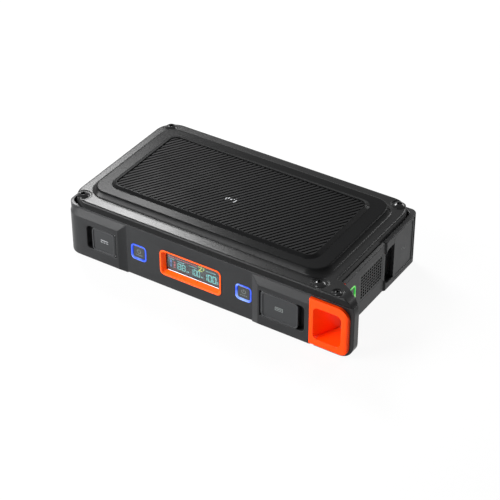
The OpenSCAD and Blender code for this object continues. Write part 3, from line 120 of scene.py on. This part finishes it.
def material(name, colour, rough, grain=900.0, bump=0.02, vary=0.12, rough_vary=0.08, metallic=0.0,
             edge=0.0, specular=0.5, edge_wear=0.0, glow=None, glow_to=None, strength=0.0, clear=0.0,
             dull=None):
    """Moulded or metal surface: fine grain, slow colour and roughness variation, soft and worn edges.

    dull holds two heights and the share of the shine that is left above the second.
    """
    mat = bpy.data.materials.new(name)
    mat.use_nodes = True
    g = Graph(mat.node_tree)
    g.n.clear()
    out = g.node("ShaderNodeOutputMaterial")
    bsdf = g.node("ShaderNodeBsdfPrincipled")
    g.link(bsdf.outputs[0], out.inputs[0])
    # colour: slow mottling plus fine grain
    slow = g.noise(MOTTLE_SCALE, 3.0)
    fine = g.noise(grain, 2.0, 0.6)
    tone = g.ramp(slow, NOISE_LOW, NOISE_HIGH, 1.0 - vary, 1.0 + vary)
    tone2 = g.ramp(fine, NOISE_LOW, NOISE_HIGH, 1.0 - vary * 0.7, 1.0 + vary * 0.7)
    scaled = g.node("ShaderNodeVectorMath", operation="SCALE")
    scaled.inputs[0].default_value = colour[:3]
    g.link(g.math("MULTIPLY", tone, tone2), scaled.inputs["Scale"])
    base = scaled.outputs[0]
    if edge_wear > 0.0:
        geo = g.node("ShaderNodeNewGeometry")
        worn = g.ramp(geo.outputs["Pointiness"], WORN_FROM, WORN_TO, 0.0, edge_wear)
        base = g.mix(worn, base, tuple(min(1.0, c * 3.0 + 0.01) for c in colour[:3]) + (1.0,))
    g.link(base, bsdf.inputs["Base Color"])
    smear = g.noise(SMEAR_SCALE, 4.0, 0.6)
    uneven = g.ramp(smear, NOISE_LOW, NOISE_HIGH, max(0.02, rough - rough_vary), min(1.0, rough + rough_vary))
    g.link(uneven, bsdf.inputs["Roughness"])
    bsdf.inputs["Metallic"].default_value = metallic
    shine = bsdf.inputs["Specular IOR Level"]
    if dull:
        height = g.node("ShaderNodeSeparateXYZ")
        g.link(g.place(), height.inputs[0])
        g.link(g.ramp(height.outputs[2], dull[0], dull[1], specular, specular * dull[2]), shine)
    else:
        shine.default_value = specular
    bsdf.inputs["Transmission Weight"].default_value = clear
    if glow:
        patches = g.ramp(g.noise(PATCH_SCALE, 1.0), 0.5, 0.68)
        g.link(g.mix(patches, glow, glow_to), bsdf.inputs["Emission Color"])
        bsdf.inputs["Emission Strength"].default_value = strength
    relief = g.node("ShaderNodeBump")
    relief.inputs["Strength"].default_value = bump
    relief.inputs["Distance"].default_value = GRAIN_DEPTH
    g.link(fine, relief.inputs["Height"])
    if edge > 0.0:
        soft = g.node("ShaderNodeBevel", samples=6)
        soft.inputs["Radius"].default_value = edge
        g.link(soft.outputs[0], relief.inputs["Normal"])
    g.link(relief.outputs[0], bsdf.inputs["Normal"])
    return mat


def paint(node, mat):
    ob = nodes[node]
    if not ob.material_slots:
        ob.data.materials.append(mat)
    for s in ob.material_slots:
        s.material = mat


# ---------------------------------------------------------------- materials
SHELL = material("shell_plastic_black", (0.016, 0.0164, 0.0172, 1), 0.33, grain=1500, bump=0.08, vary=0.1,
                 rough_vary=0.025, edge=0.0010, edge_wear=0.12, specular=0.15)
TOP = material("top_plastic_black", (0.005, 0.0051, 0.0053, 1), 0.27, grain=1500, bump=0.05, vary=0.1,
               rough_vary=0.02, edge=0.0010, edge_wear=0.12, specular=0.13, dull=(0.0465, 0.0492, 0.28))
LOOP = material("loop_plastic_black", (0.008, 0.0081, 0.0084, 1), 0.3, grain=1500, bump=0.05,
                rough_vary=0.03, edge=0.0009, edge_wear=0.1, specular=0.25)
COVER = material("cover_rubber_black", (0.020, 0.021, 0.0225, 1), 0.45, grain=1700, bump=0.1,
                 rough_vary=0.04, edge=0.0004, edge_wear=0.15, specular=0.3)
PAD = material("pad_rubber_black", (0.006, 0.006, 0.0063, 1), 0.52, grain=1300, bump=0.1, rough_vary=0.04,
               edge=0.0002, specular=0.05)
SCREW = material("screw_black_gloss", (0.006, 0.006, 0.0065, 1), 0.14, grain=600, bump=0.02, edge=0.0003,
                 specular=0.2, rough_vary=0.03)
ORANGE = material("liner_orange", (1.0, 0.058, 0.0, 1), 0.4, grain=1500, bump=0.05, vary=0.04, edge=0.0006,
                  specular=0.15)
BEZEL = material("bezel_orange", (1.0, 0.095, 0.0, 1), 0.3, grain=1500, bump=0.05, vary=0.04, edge=0.0006,
                 specular=0.3)
GRILLE = material("grille_plastic_black", (0.014, 0.0145, 0.015, 1), 0.42, grain=1500, bump=0.1,
                  specular=0.25)
CAP = material("cap_plastic_black", (0.022, 0.024, 0.025, 1), 0.35, grain=1500, bump=0.05, edge=0.0004)
RING_BLUE = material("ring_blue_lit", (0.02, 0.06, 0.4, 1), 0.3, vary=0.05,
                     glow=srgb(28, 62, 205), glow_to=srgb(165, 195, 250), strength=0.9)
RING_GREEN = material("ring_green_lit", (0.02, 0.3, 0.03, 1), 0.3, vary=0.05,
                      glow=srgb(20, 170, 40), glow_to=srgb(170, 245, 140), strength=0.9)
WINDOW = material("window_clear_smoked", (0.75, 0.78, 0.8, 1), 0.03, vary=0.02, rough_vary=0.01, bump=0.0,
                  clear=1.0)
SCREEN = material("screen_grey", (0.045, 0.047, 0.052, 1), 0.5, grain=2500, bump=0.02, vary=0.08)
DIGIT = material("screen_digit_cyan", (0.1, 0.3, 0.3, 1), 0.5, vary=0.05,
                 glow=srgb(120, 222, 212), glow_to=srgb(150, 236, 228), strength=0.95)
DIGIT_DIM = material("screen_digit_dim", (0.1, 0.25, 0.25, 1), 0.5, vary=0.05,
                     glow=srgb(110, 165, 165), glow_to=srgb(125, 180, 180), strength=0.9)
ALERT_RED = material("screen_bar_red", (0.3, 0.05, 0.06, 1), 0.5, vary=0.05,
                     glow=srgb(190, 88, 92), glow_to=srgb(205, 105, 108), strength=0.9)
NOTE_BLUE = material("screen_bar_blue", (0.06, 0.1, 0.25, 1), 0.5, vary=0.05,
                     glow=srgb(85, 115, 170), glow_to=srgb(105, 135, 190), strength=0.9)
NOTE_LIME = material("screen_bar_lime", (0.2, 0.25, 0.05, 1), 0.5, vary=0.05,
                     glow=srgb(150, 170, 80), glow_to=srgb(200, 225, 110), strength=0.9)
# glowing colour that paints the highlight on the window's lower glass edge
WINDOW_EDGE_HIGHLIGHT = material("window_edge_painted_highlight", (0.5, 0.7, 0.75, 1), 0.4, vary=0.05,
                      glow=srgb(120, 190, 205), glow_to=srgb(235, 255, 255), strength=0.9)
PRINT = material("print_light_grey", (0.30, 0.31, 0.32, 1), 0.55, grain=1200, bump=0.05)
PRINT_DIM = material("print_dim_grey", (0.13, 0.145, 0.14, 1), 0.5, grain=1200, bump=0.05)
RUBBER = material("foot_rubber_black", (0.015, 0.015, 0.016, 1), 0.7, grain=900, bump=0.2)
STEEL = material("steel_bright", (0.55, 0.56, 0.58, 1), 0.3, metallic=1.0, vary=0.06)
PORT = material("port_black", (0.012, 0.012, 0.013, 1), 0.4)
BOARD = material("board_green", (0.02, 0.10, 0.045, 1), 0.4, grain=700, vary=0.15)
CELL = material("cell_blue_sleeve", (0.03, 0.12, 0.4, 1), 0.35)
COPPER = material("copper_wire", (0.7, 0.28, 0.12, 1), 0.3, metallic=1.0)
TAPE = material("core_tape_yellow", (0.65, 0.5, 0.1, 1), 0.45)
FERRITE = material("ferrite_grey", (0.06, 0.06, 0.065, 1), 0.6)
HEATSINK = material("heat_sink_aluminium", (0.6, 0.61, 0.63, 1), 0.38, metallic=1.0)

paint_map = {
    "lower_shell": SHELL, "upper_shell": TOP, "loop_frame": LOOP, "loop_liner": ORANGE, "charging_pad": PAD,
    "cover_screws": SCREW, "loop_screw": SCREW, "rubber_feet": RUBBER,
    "exhaust_grille": GRILLE, "intake_grille": GRILLE,
    "display_bezel": BEZEL, "display_window": WINDOW, "display_module": PORT,
    "dc_button": CAP, "usb_button": CAP, "ac_button": CAP,
    "dc_light_ring": RING_BLUE, "usb_light_ring": RING_BLUE, "ac_light_ring": RING_GREEN,
    "dc_cover": COVER, "usb_cover": COVER, "ac_cover": COVER,
    "dc_hinge_pin": STEEL, "usb_hinge_pin": STEEL, "ac_hinge_pin": STEEL,
    "dc_jacks": PORT, "usb_a_ports": STEEL, "usb_c_ports": STEEL, "ac_outlet": PORT,
    "front_board": BOARD, "side_board": BOARD, "port_boards": BOARD, "button_switches": PORT,
    "battery_cells": CELL, "cell_holders": PORT, "cell_tabs": STEEL, "battery_board": BOARD,
    "charging_coil": COPPER, "coil_ferrite": FERRITE, "inverter_board": BOARD,
    "inverter_transformer": TAPE, "inverter_choke": COPPER, "filter_capacitors": CELL,
    "heat_sink": HEATSINK, "board_screws": STEEL, "fan_frame": PORT, "fan_rotor": PORT,
}
for name, mat in paint_map.items():
    paint(name, mat)


# ---------------------------------------------------------------- flat prints
class Print:
    """Flat shapes drawn in millimetres on a plane, made into one mesh that rides on a body."""

    def __init__(self, name, origin, right, up, lift=0.02):
        self.name = name
        self.right = Vector(right)
        self.up = Vector(up)
        self.normal = self.right.cross(self.up)
        self.origin = Vector(origin) + self.normal * lift * MM
        self.faces = []

    def poly(self, points):
        self.faces.append([tuple(p) for p in points])

    def bar(self, x, y, w, h):
        """Rectangle from its lower left corner."""
        self.poly([(x, y), (x + w, y), (x + w, y + h), (x, y + h)])

    def dashes(self, x, y, w, h, count, gap=0.35):
        pitch = (w + gap) / count
        for i in range(count):
            self.bar(x + i * pitch, y, pitch - gap, h)

    def arc(self, cx, cy, r, t, start, end, steps=16):
        for i in range(steps):
            a, b = (math.radians(start + (end - start) * k / steps) for k in (i, i + 1))
            self.poly([(cx + q * math.cos(v), cy + q * math.sin(v))
                       for q, v in ((r - t / 2, a), (r + t / 2, a), (r + t / 2, b), (r - t / 2, b))])

    def wave(self, cx, cy, w, h, t, steps=24):
        """One period of a sine, as the usual sign of alternating current."""
        ys = [cy + h * math.sin(2 * math.pi * i / steps) for i in range(steps + 1)]
        for i in range(steps):
            x1, x2 = (cx - w / 2 + w * k / steps for k in (i, i + 1))
            y1, y2 = ys[i], ys[i + 1]
            self.poly([(x1, y1 - t / 2), (x2, y2 - t / 2), (x2, y2 + t / 2), (x1, y1 + t / 2)])

    def digit(self, value, x, y, w, h, t):
        """Seven-segment digit from its lower left corner, with mitred segments."""
        on = {0: "abcdef", 1: "bc", 8: "abcdefg"}[value]
        g = t * 0.12
        m = h / 2
        seg = {
            "a": [(g, h), (w - g, h), (w - t - g, h - t), (t + g, h - t)],
            "d": [(g, 0), (t + g, t), (w - t - g, t), (w - g, 0)],
            "b": [(w, h - g), (w, m + g), (w - t, m + t / 2 + g), (w - t, h - t - g)],
            "c": [(w, m - g), (w, g), (w - t, t + g), (w - t, m - t / 2 - g)],
            "f": [(0, h - g), (t, h - t - g), (t, m + t / 2 + g), (0, m + g)],
            "e": [(0, m - g), (t, m - t / 2 - g), (t, t + g), (0, g)],
            "g": [(t + g, m + t / 2), (w - t - g, m + t / 2), (w - t - g, m - t / 2), (t + g, m - t / 2)],
        }
        for s in on:
            self.poly([(x + px, y + py) for px, py in seg[s]])

    def keep_strips(self, angle, pitch, width, centre):
        """Cuts every face to strips, so that the print only lies on the ribs under it."""
        nx, ny = -math.sin(angle), math.cos(angle)
        kept = []
        for f in self.faces:
            d = [nx * (p[0] - centre[0]) + ny * (p[1] - centre[1]) for p in f]
            for i in range(math.floor(min(d) / pitch) - 1, math.ceil(max(d) / pitch) + 2):
                low = i * pitch + (pitch - width) / 2
                piece = clip(clip(f, nx, ny, centre, low, 1), nx, ny, centre, low + width, -1)
                if len(piece) > 2:
                    kept.append(piece)
        self.faces = kept

    def make(self, mat, body):
        bm = bmesh.new()
        for f in self.faces:
            corners = [self.origin + (self.right * p[0] + self.up * p[1]) * MM for p in f]
            face = bm.faces.new([bm.verts.new(c) for c in corners])
            face.normal_update()
            if face.normal.dot(self.normal) < 0:
                face.normal_flip()
        mesh = bpy.data.meshes.new(self.name)
        bm.to_mesh(mesh)
        bm.free()
        ob = bpy.data.objects.new(self.name, mesh)
        bpy.context.scene.collection.objects.link(ob)
        mesh.materials.append(mat)
        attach(ob, body)
        return ob


def clip(points, nx, ny, centre, limit, side):
    """The part of a convex polygon where side * (distance - limit) is positive."""
    out = []
    for i, p in enumerate(points):
        q = points[(i + 1) % len(points)]
        dp = side * (nx * (p[0] - centre[0]) + ny * (p[1] - centre[1]) - limit)
        dq = side * (nx * (q[0] - centre[0]) + ny * (q[1] - centre[1]) - limit)
        if dp >= 0:
            out.append(p)
        if dp * dq < 0:
            k = dp / (dp - dq)
            out.append((p[0] + k * (q[0] - p[0]), p[1] + k * (q[1] - p[1])))
    return out


X, Y, Z = Vector((1, 0, 0)), Vector((0, 1, 0)), Vector((0, 0, 1))

# the screen: a grey panel with plain numbers and bars, in the gap between module and window
low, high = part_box("display_module")
screen_w = (high[0] - low[0]) / MM
screen_h = (high[2] - low[2]) / MM
screen_corner = tuple(low)
panel = Print("screen_panel", screen_corner, X, Z, lift=0.004)
panel.bar(1.9, 1.7, screen_w - 2.5, screen_h - 2.1)
panel.make(SCREEN, "housing")


def screen_print(name, mat, bars=(), rows=(), shapes=(), numbers=()):
    """One colour of the screen, in mm from the module's lower left corner."""
    made = Print(name, screen_corner, X, Z, lift=0.010)
    for text, left, pitch, bottom, *size in numbers:
        for k, value in enumerate(text):
            made.digit(int(value), left + pitch * k, bottom, *size)
    for row in rows:
        made.dashes(*row)
    for bar in bars:
        made.bar(*bar)
    for shape in shapes:
        made.poly(shape)
    made.make(mat, "housing")


# a number: its digits, left, pitch, bottom, then a digit's width, height and stroke
screen_print("screen_numbers", DIGIT, numbers=(
    ("100", 30.2, 3.6, 3.1, 3.0, 5.6, 0.62),
    ("100", 19.8, 2.75, 3.6, 2.2, 4.9, 0.46),
    ("88", 9.6, 3.4, 3.7, 2.8, 4.9, 0.5)))
# a row of dashes: left, bottom, width, height, count and gap
screen_print("screen_small_bars", DIGIT_DIM, rows=(
    (2.4, 9.9, 4.6, 0.8, 5, 0.25), (9.4, 9.5, 5.4, 0.8, 6, 0.25), (18.6, 9.6, 6.4, 0.8, 7, 0.25),
    (32.2, 10.6, 8.0, 0.8, 9, 0.25), (16.7, 3.8, 1.9, 1.2, 2, 0.3), (28.4, 3.8, 1.6, 1.2, 2, 0.3),
    (41.0, 3.3, 0.9, 2.2, 1, 0.0)))
# a bar: left, bottom, width and height
screen_print("screen_red_bars", ALERT_RED, rows=((2.2, 11.4, 22.7, 0.75, 14, 0.35),), bars=(
    (6.5, 7.6, 1.4, 1.2), (6.5, 5.3, 1.4, 1.7), (6.5, 3.8, 1.4, 0.9)))
screen_print("screen_blue_bars", NOTE_BLUE, bars=((3.4, 7.0, 1.6, 2.3), (3.7, 3.9, 1.2, 2.4)))
screen_print("screen_lime_marks", NOTE_LIME, bars=((26.0, 11.8, 3.4, 0.8), (26.3, 8.8, 3.2, 0.8)), shapes=(
    ((28.5, 11.8), (29.4, 11.8), (27.4, 9.6), (26.5, 9.6)),
    ((30.6, 12.8), (31.2, 12.8), (30.4, 11.2), (29.8, 11.2)),
    ((30.3, 11.6), (31.3, 11.6), (30.2, 9.9), (29.9, 9.9))))

# painted highlight: a thin glowing strip along the window's lower edge, where the glass edge catches light
low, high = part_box("display_window")
edge_highlight = Print("window_edge_painted_highlight_strip", tuple(low), X, Z, lift=0.03)
edge_highlight.bar(2.0, 0.9, 40.6, 0.45)
edge_highlight.make(WINDOW_EDGE_HIGHLIGHT, "housing")


def face_middle(node, side):
    """Middle of a node's front or right face."""
    lo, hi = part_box(node)
    if side == "front":
        return ((lo[0] + hi[0]) / 2, lo[1], (lo[2] + hi[2]) / 2)
    return (hi[0], (lo[1] + hi[1]) / 2, (lo[2] + hi[2]) / 2)


BEAD = 0.4       # how deep a cover's field lies under its bead
CLEAR = 0.03     # how far a print lies above its surface

# direct current sign on the left cover: a line over three dashes
x, y, z = face_middle("dc_cover", "front")
mark = Print("dc_cover_sign", (x, y + BEAD * MM, z), X, Z, lift=CLEAR)
mark.bar(-3.0, 0.7, 6.0, 0.55)
mark.dashes(-3.0, -0.9, 6.0, 0.55, 3, 0.9)
mark.make(PRINT, "dc_door")

# data port sign on the right cover: a socket outline with its tongue
x, y, z = face_middle("usb_cover", "front")
mark = Print("usb_cover_sign", (x, y + BEAD * MM, z), X, Z, lift=CLEAR)
for outline in ((-3, -1.3, 6, 0.45), (-3, 0.95, 6, 0.45), (-3, -0.85, 0.45, 1.8),
                (2.55, -0.85, 0.45, 1.8), (-2.0, -0.2, 4.0, 0.6)):
    mark.bar(*outline)
mark.make(PRINT_DIM, "usb_door")

# alternating current sign on the side cover
x, y, z = face_middle("ac_cover", "right")
mark = Print("ac_cover_sign", (x - BEAD * MM, y, z), Y, Z, lift=CLEAR)
mark.wave(0, 0, 6.5, 1.3, 0.6)
mark.make(PRINT_DIM, "ac_door")

# switch signs on the button caps: a broken ring with a stroke, over a short line
for node, body, side in (("dc_button", "dc_press", "front"), ("usb_button", "usb_press", "front"),
                         ("ac_button", "ac_press", "right")):
    right = X if side == "front" else Y
    mark = Print(node + "_sign", face_middle(node, side), right, Z, lift=CLEAR)
    mark.arc(0, 0.9, 1.5, 0.45, 125, 415)
    mark.bar(-0.22, 1.1, 0.44, 1.7)
    mark.dashes(-2.6, -2.4, 5.2, 0.6, 4, 0.35)
    mark.make(PRINT_DIM, body)

# wireless charging sign on the pad: a dot between two pairs of arcs, on the ribs alone
RIB_ANGLE, RIB_PITCH, RIB_GROOVE = 58.5, 2.9, 1.1      # from the part's source, in degrees and mm
PAD_SIGN = (-1.0, -9.0)                                # from the middle of the pad
SIGN_RINGS = ((0.35, 90), (2.2, 38), (3.7, 38))        # radius and half angle of each pair of arcs
SIGN_STROKE = 0.7
low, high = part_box("charging_pad")
pad_middle = ((low[0] + high[0]) / 2 / MM, (low[1] + high[1]) / 2 / MM)
mark = Print("pad_sign", (0.0, 0.0, high[2]), X, Y, lift=CLEAR)
sign_x, sign_y = pad_middle[0] + PAD_SIGN[0], pad_middle[1] + PAD_SIGN[1]
for radius, spread in SIGN_RINGS:
    for side in (0, 180):
        mark.arc(sign_x, sign_y, radius, SIGN_STROKE, side - spread, side + spread)
mark.keep_strips(math.radians(RIB_ANGLE), RIB_PITCH, RIB_PITCH - RIB_GROOVE, pad_middle)
mark.make(PRINT, "housing")

# ---------------------------------------------------------------- stage
FLOOR_GREY = 0.85
FLOOR_WHITE = 0.92      # share of plain white in what is seen of the floor
FLOOR_SIZE = 6.0        # in metres, from the middle to an edge
WORLD_LIGHT = 0.1       # how much the world lights the object


def seen_plainly(g):
    """One where the background is seen: by the camera, in a glossy surface or through clear plastic."""
    path = g.node("ShaderNodeLightPath").outputs
    both = g.math("ADD", path["Is Camera Ray"], path["Is Glossy Ray"], clamp=True)
    return g.math("ADD", both, path["Is Transmission Ray"], clamp=True)


def plain(g, kind, level, strength=None):
    """A diffuse, emission or background node of one grey."""
    made = g.node(kind)
    made.inputs["Color"].default_value = grey(level)
    if strength is not None:
        made.inputs["Strength"].default_value = strength
    return made.outputs[0]


def stage_mix(g, out, share, lit, white):
    """Joins what lights the object with the plain white that is seen."""
    mixed = g.node("ShaderNodeMixShader")
    g.link(share, mixed.inputs[0])
    g.link(lit, mixed.inputs[1])
    g.link(white, mixed.inputs[2])
    g.link(mixed.outputs[0], g.node(out).inputs[0])


floor = bpy.data.objects.new("studio_floor", bpy.data.meshes.new("studio_floor"))
bpy.context.scene.collection.objects.link(floor)
bm = bmesh.new()
bmesh.ops.create_grid(bm, x_segments=1, y_segments=1, size=FLOOR_SIZE)
bm.to_mesh(floor.data)
bm.free()
floor_mat = bpy.data.materials.new("studio_floor_white")
floor_mat.use_nodes = True
fg = Graph(floor_mat.node_tree)
fg.n.clear()
stage_mix(fg, "ShaderNodeOutputMaterial", fg.math("MULTIPLY", seen_plainly(fg), FLOOR_WHITE),
          plain(fg, "ShaderNodeBsdfDiffuse", FLOOR_GREY), plain(fg, "ShaderNodeEmission", 1.0, 1.0))
floor.data.materials.append(floor_mat)

world = bpy.data.worlds.new("studio_world")
bpy.context.scene.world = world
world.use_nodes = True
wg = Graph(world.node_tree)
wg.n.clear()
stage_mix(wg, "ShaderNodeOutputWorld", seen_plainly(wg),
          plain(wg, "ShaderNodeBackground", 1.0, WORLD_LIGHT), plain(wg, "ShaderNodeBackground", 1.0, 1.0))


LAMP_TARGET = (0.0, 0.0, 0.03)


def softbox(name, azimuth, elevation, distance, width, height, power):
    """Area lamp aimed at the middle of the object. Azimuth 0 is at the back (+Y) and 90 at the left (-X)."""
    target = Vector(LAMP_TARGET)
    a, e = math.radians(azimuth), math.radians(elevation)
    where = target + distance * Vector((-math.sin(a) * math.cos(e), math.cos(a) * math.cos(e), math.sin(e)))
    data = bpy.data.lights.new(name, "AREA")
    data.energy = power
    data.shape = "RECTANGLE"
    data.size = width
    data.size_y = height
    ob = bpy.data.objects.new(name, data)
    bpy.context.scene.collection.objects.link(ob)
    ob.location = where
    ob.rotation_euler = (target - where).to_track_quat("-Z", "Y").to_euler()


# name, azimuth and elevation in degrees, distance, width and height in metres, power in watts
LAMPS = (
    ("key_softbox", 56, 40, 0.55, 0.22, 0.14, 4.2),
    ("left_softbox", 138, 14, 0.8, 0.7, 0.2, 10.0),
    ("back_softbox", 340, 30, 1.2, 0.5, 0.16, 6.0),
    ("front_softbox", 150, 45, 0.9, 0.35, 0.25, 3.5),
)
for lamp in LAMPS:
    softbox(*lamp)

# ---------------------------------------------------------------- camera
# found from the vanishing points of the object's edges in the photograph
CAMERA_FROM_BODY = Vector((0.5292, -0.81592, 0.7))     # from the middle of the body's footprint
BODY_SHIFT = Vector((-0.0097, 0.0012, 0.0))            # where that middle lies in the frame
CAMERA_DOWN, CAMERA_TURN = 35.59, 32.6                 # degrees below level, and round Z
LENS, SENSOR = 125.06, 36.0
cam_data = bpy.data.cameras.new("studio_camera")
cam_data.sensor_width = SENSOR
cam_data.lens = LENS
cam_data.clip_end = 50.0
cam = bpy.data.objects.new("studio_camera", cam_data)
bpy.context.scene.collection.objects.link(cam)
cam.location = CAMERA_FROM_BODY + BODY_SHIFT
cam.rotation_euler = (math.radians(90 - CAMERA_DOWN), 0.0, math.radians(CAMERA_TURN))
bpy.context.scene.camera = cam

bpy.context.scene.view_settings.view_transform = "Standard"
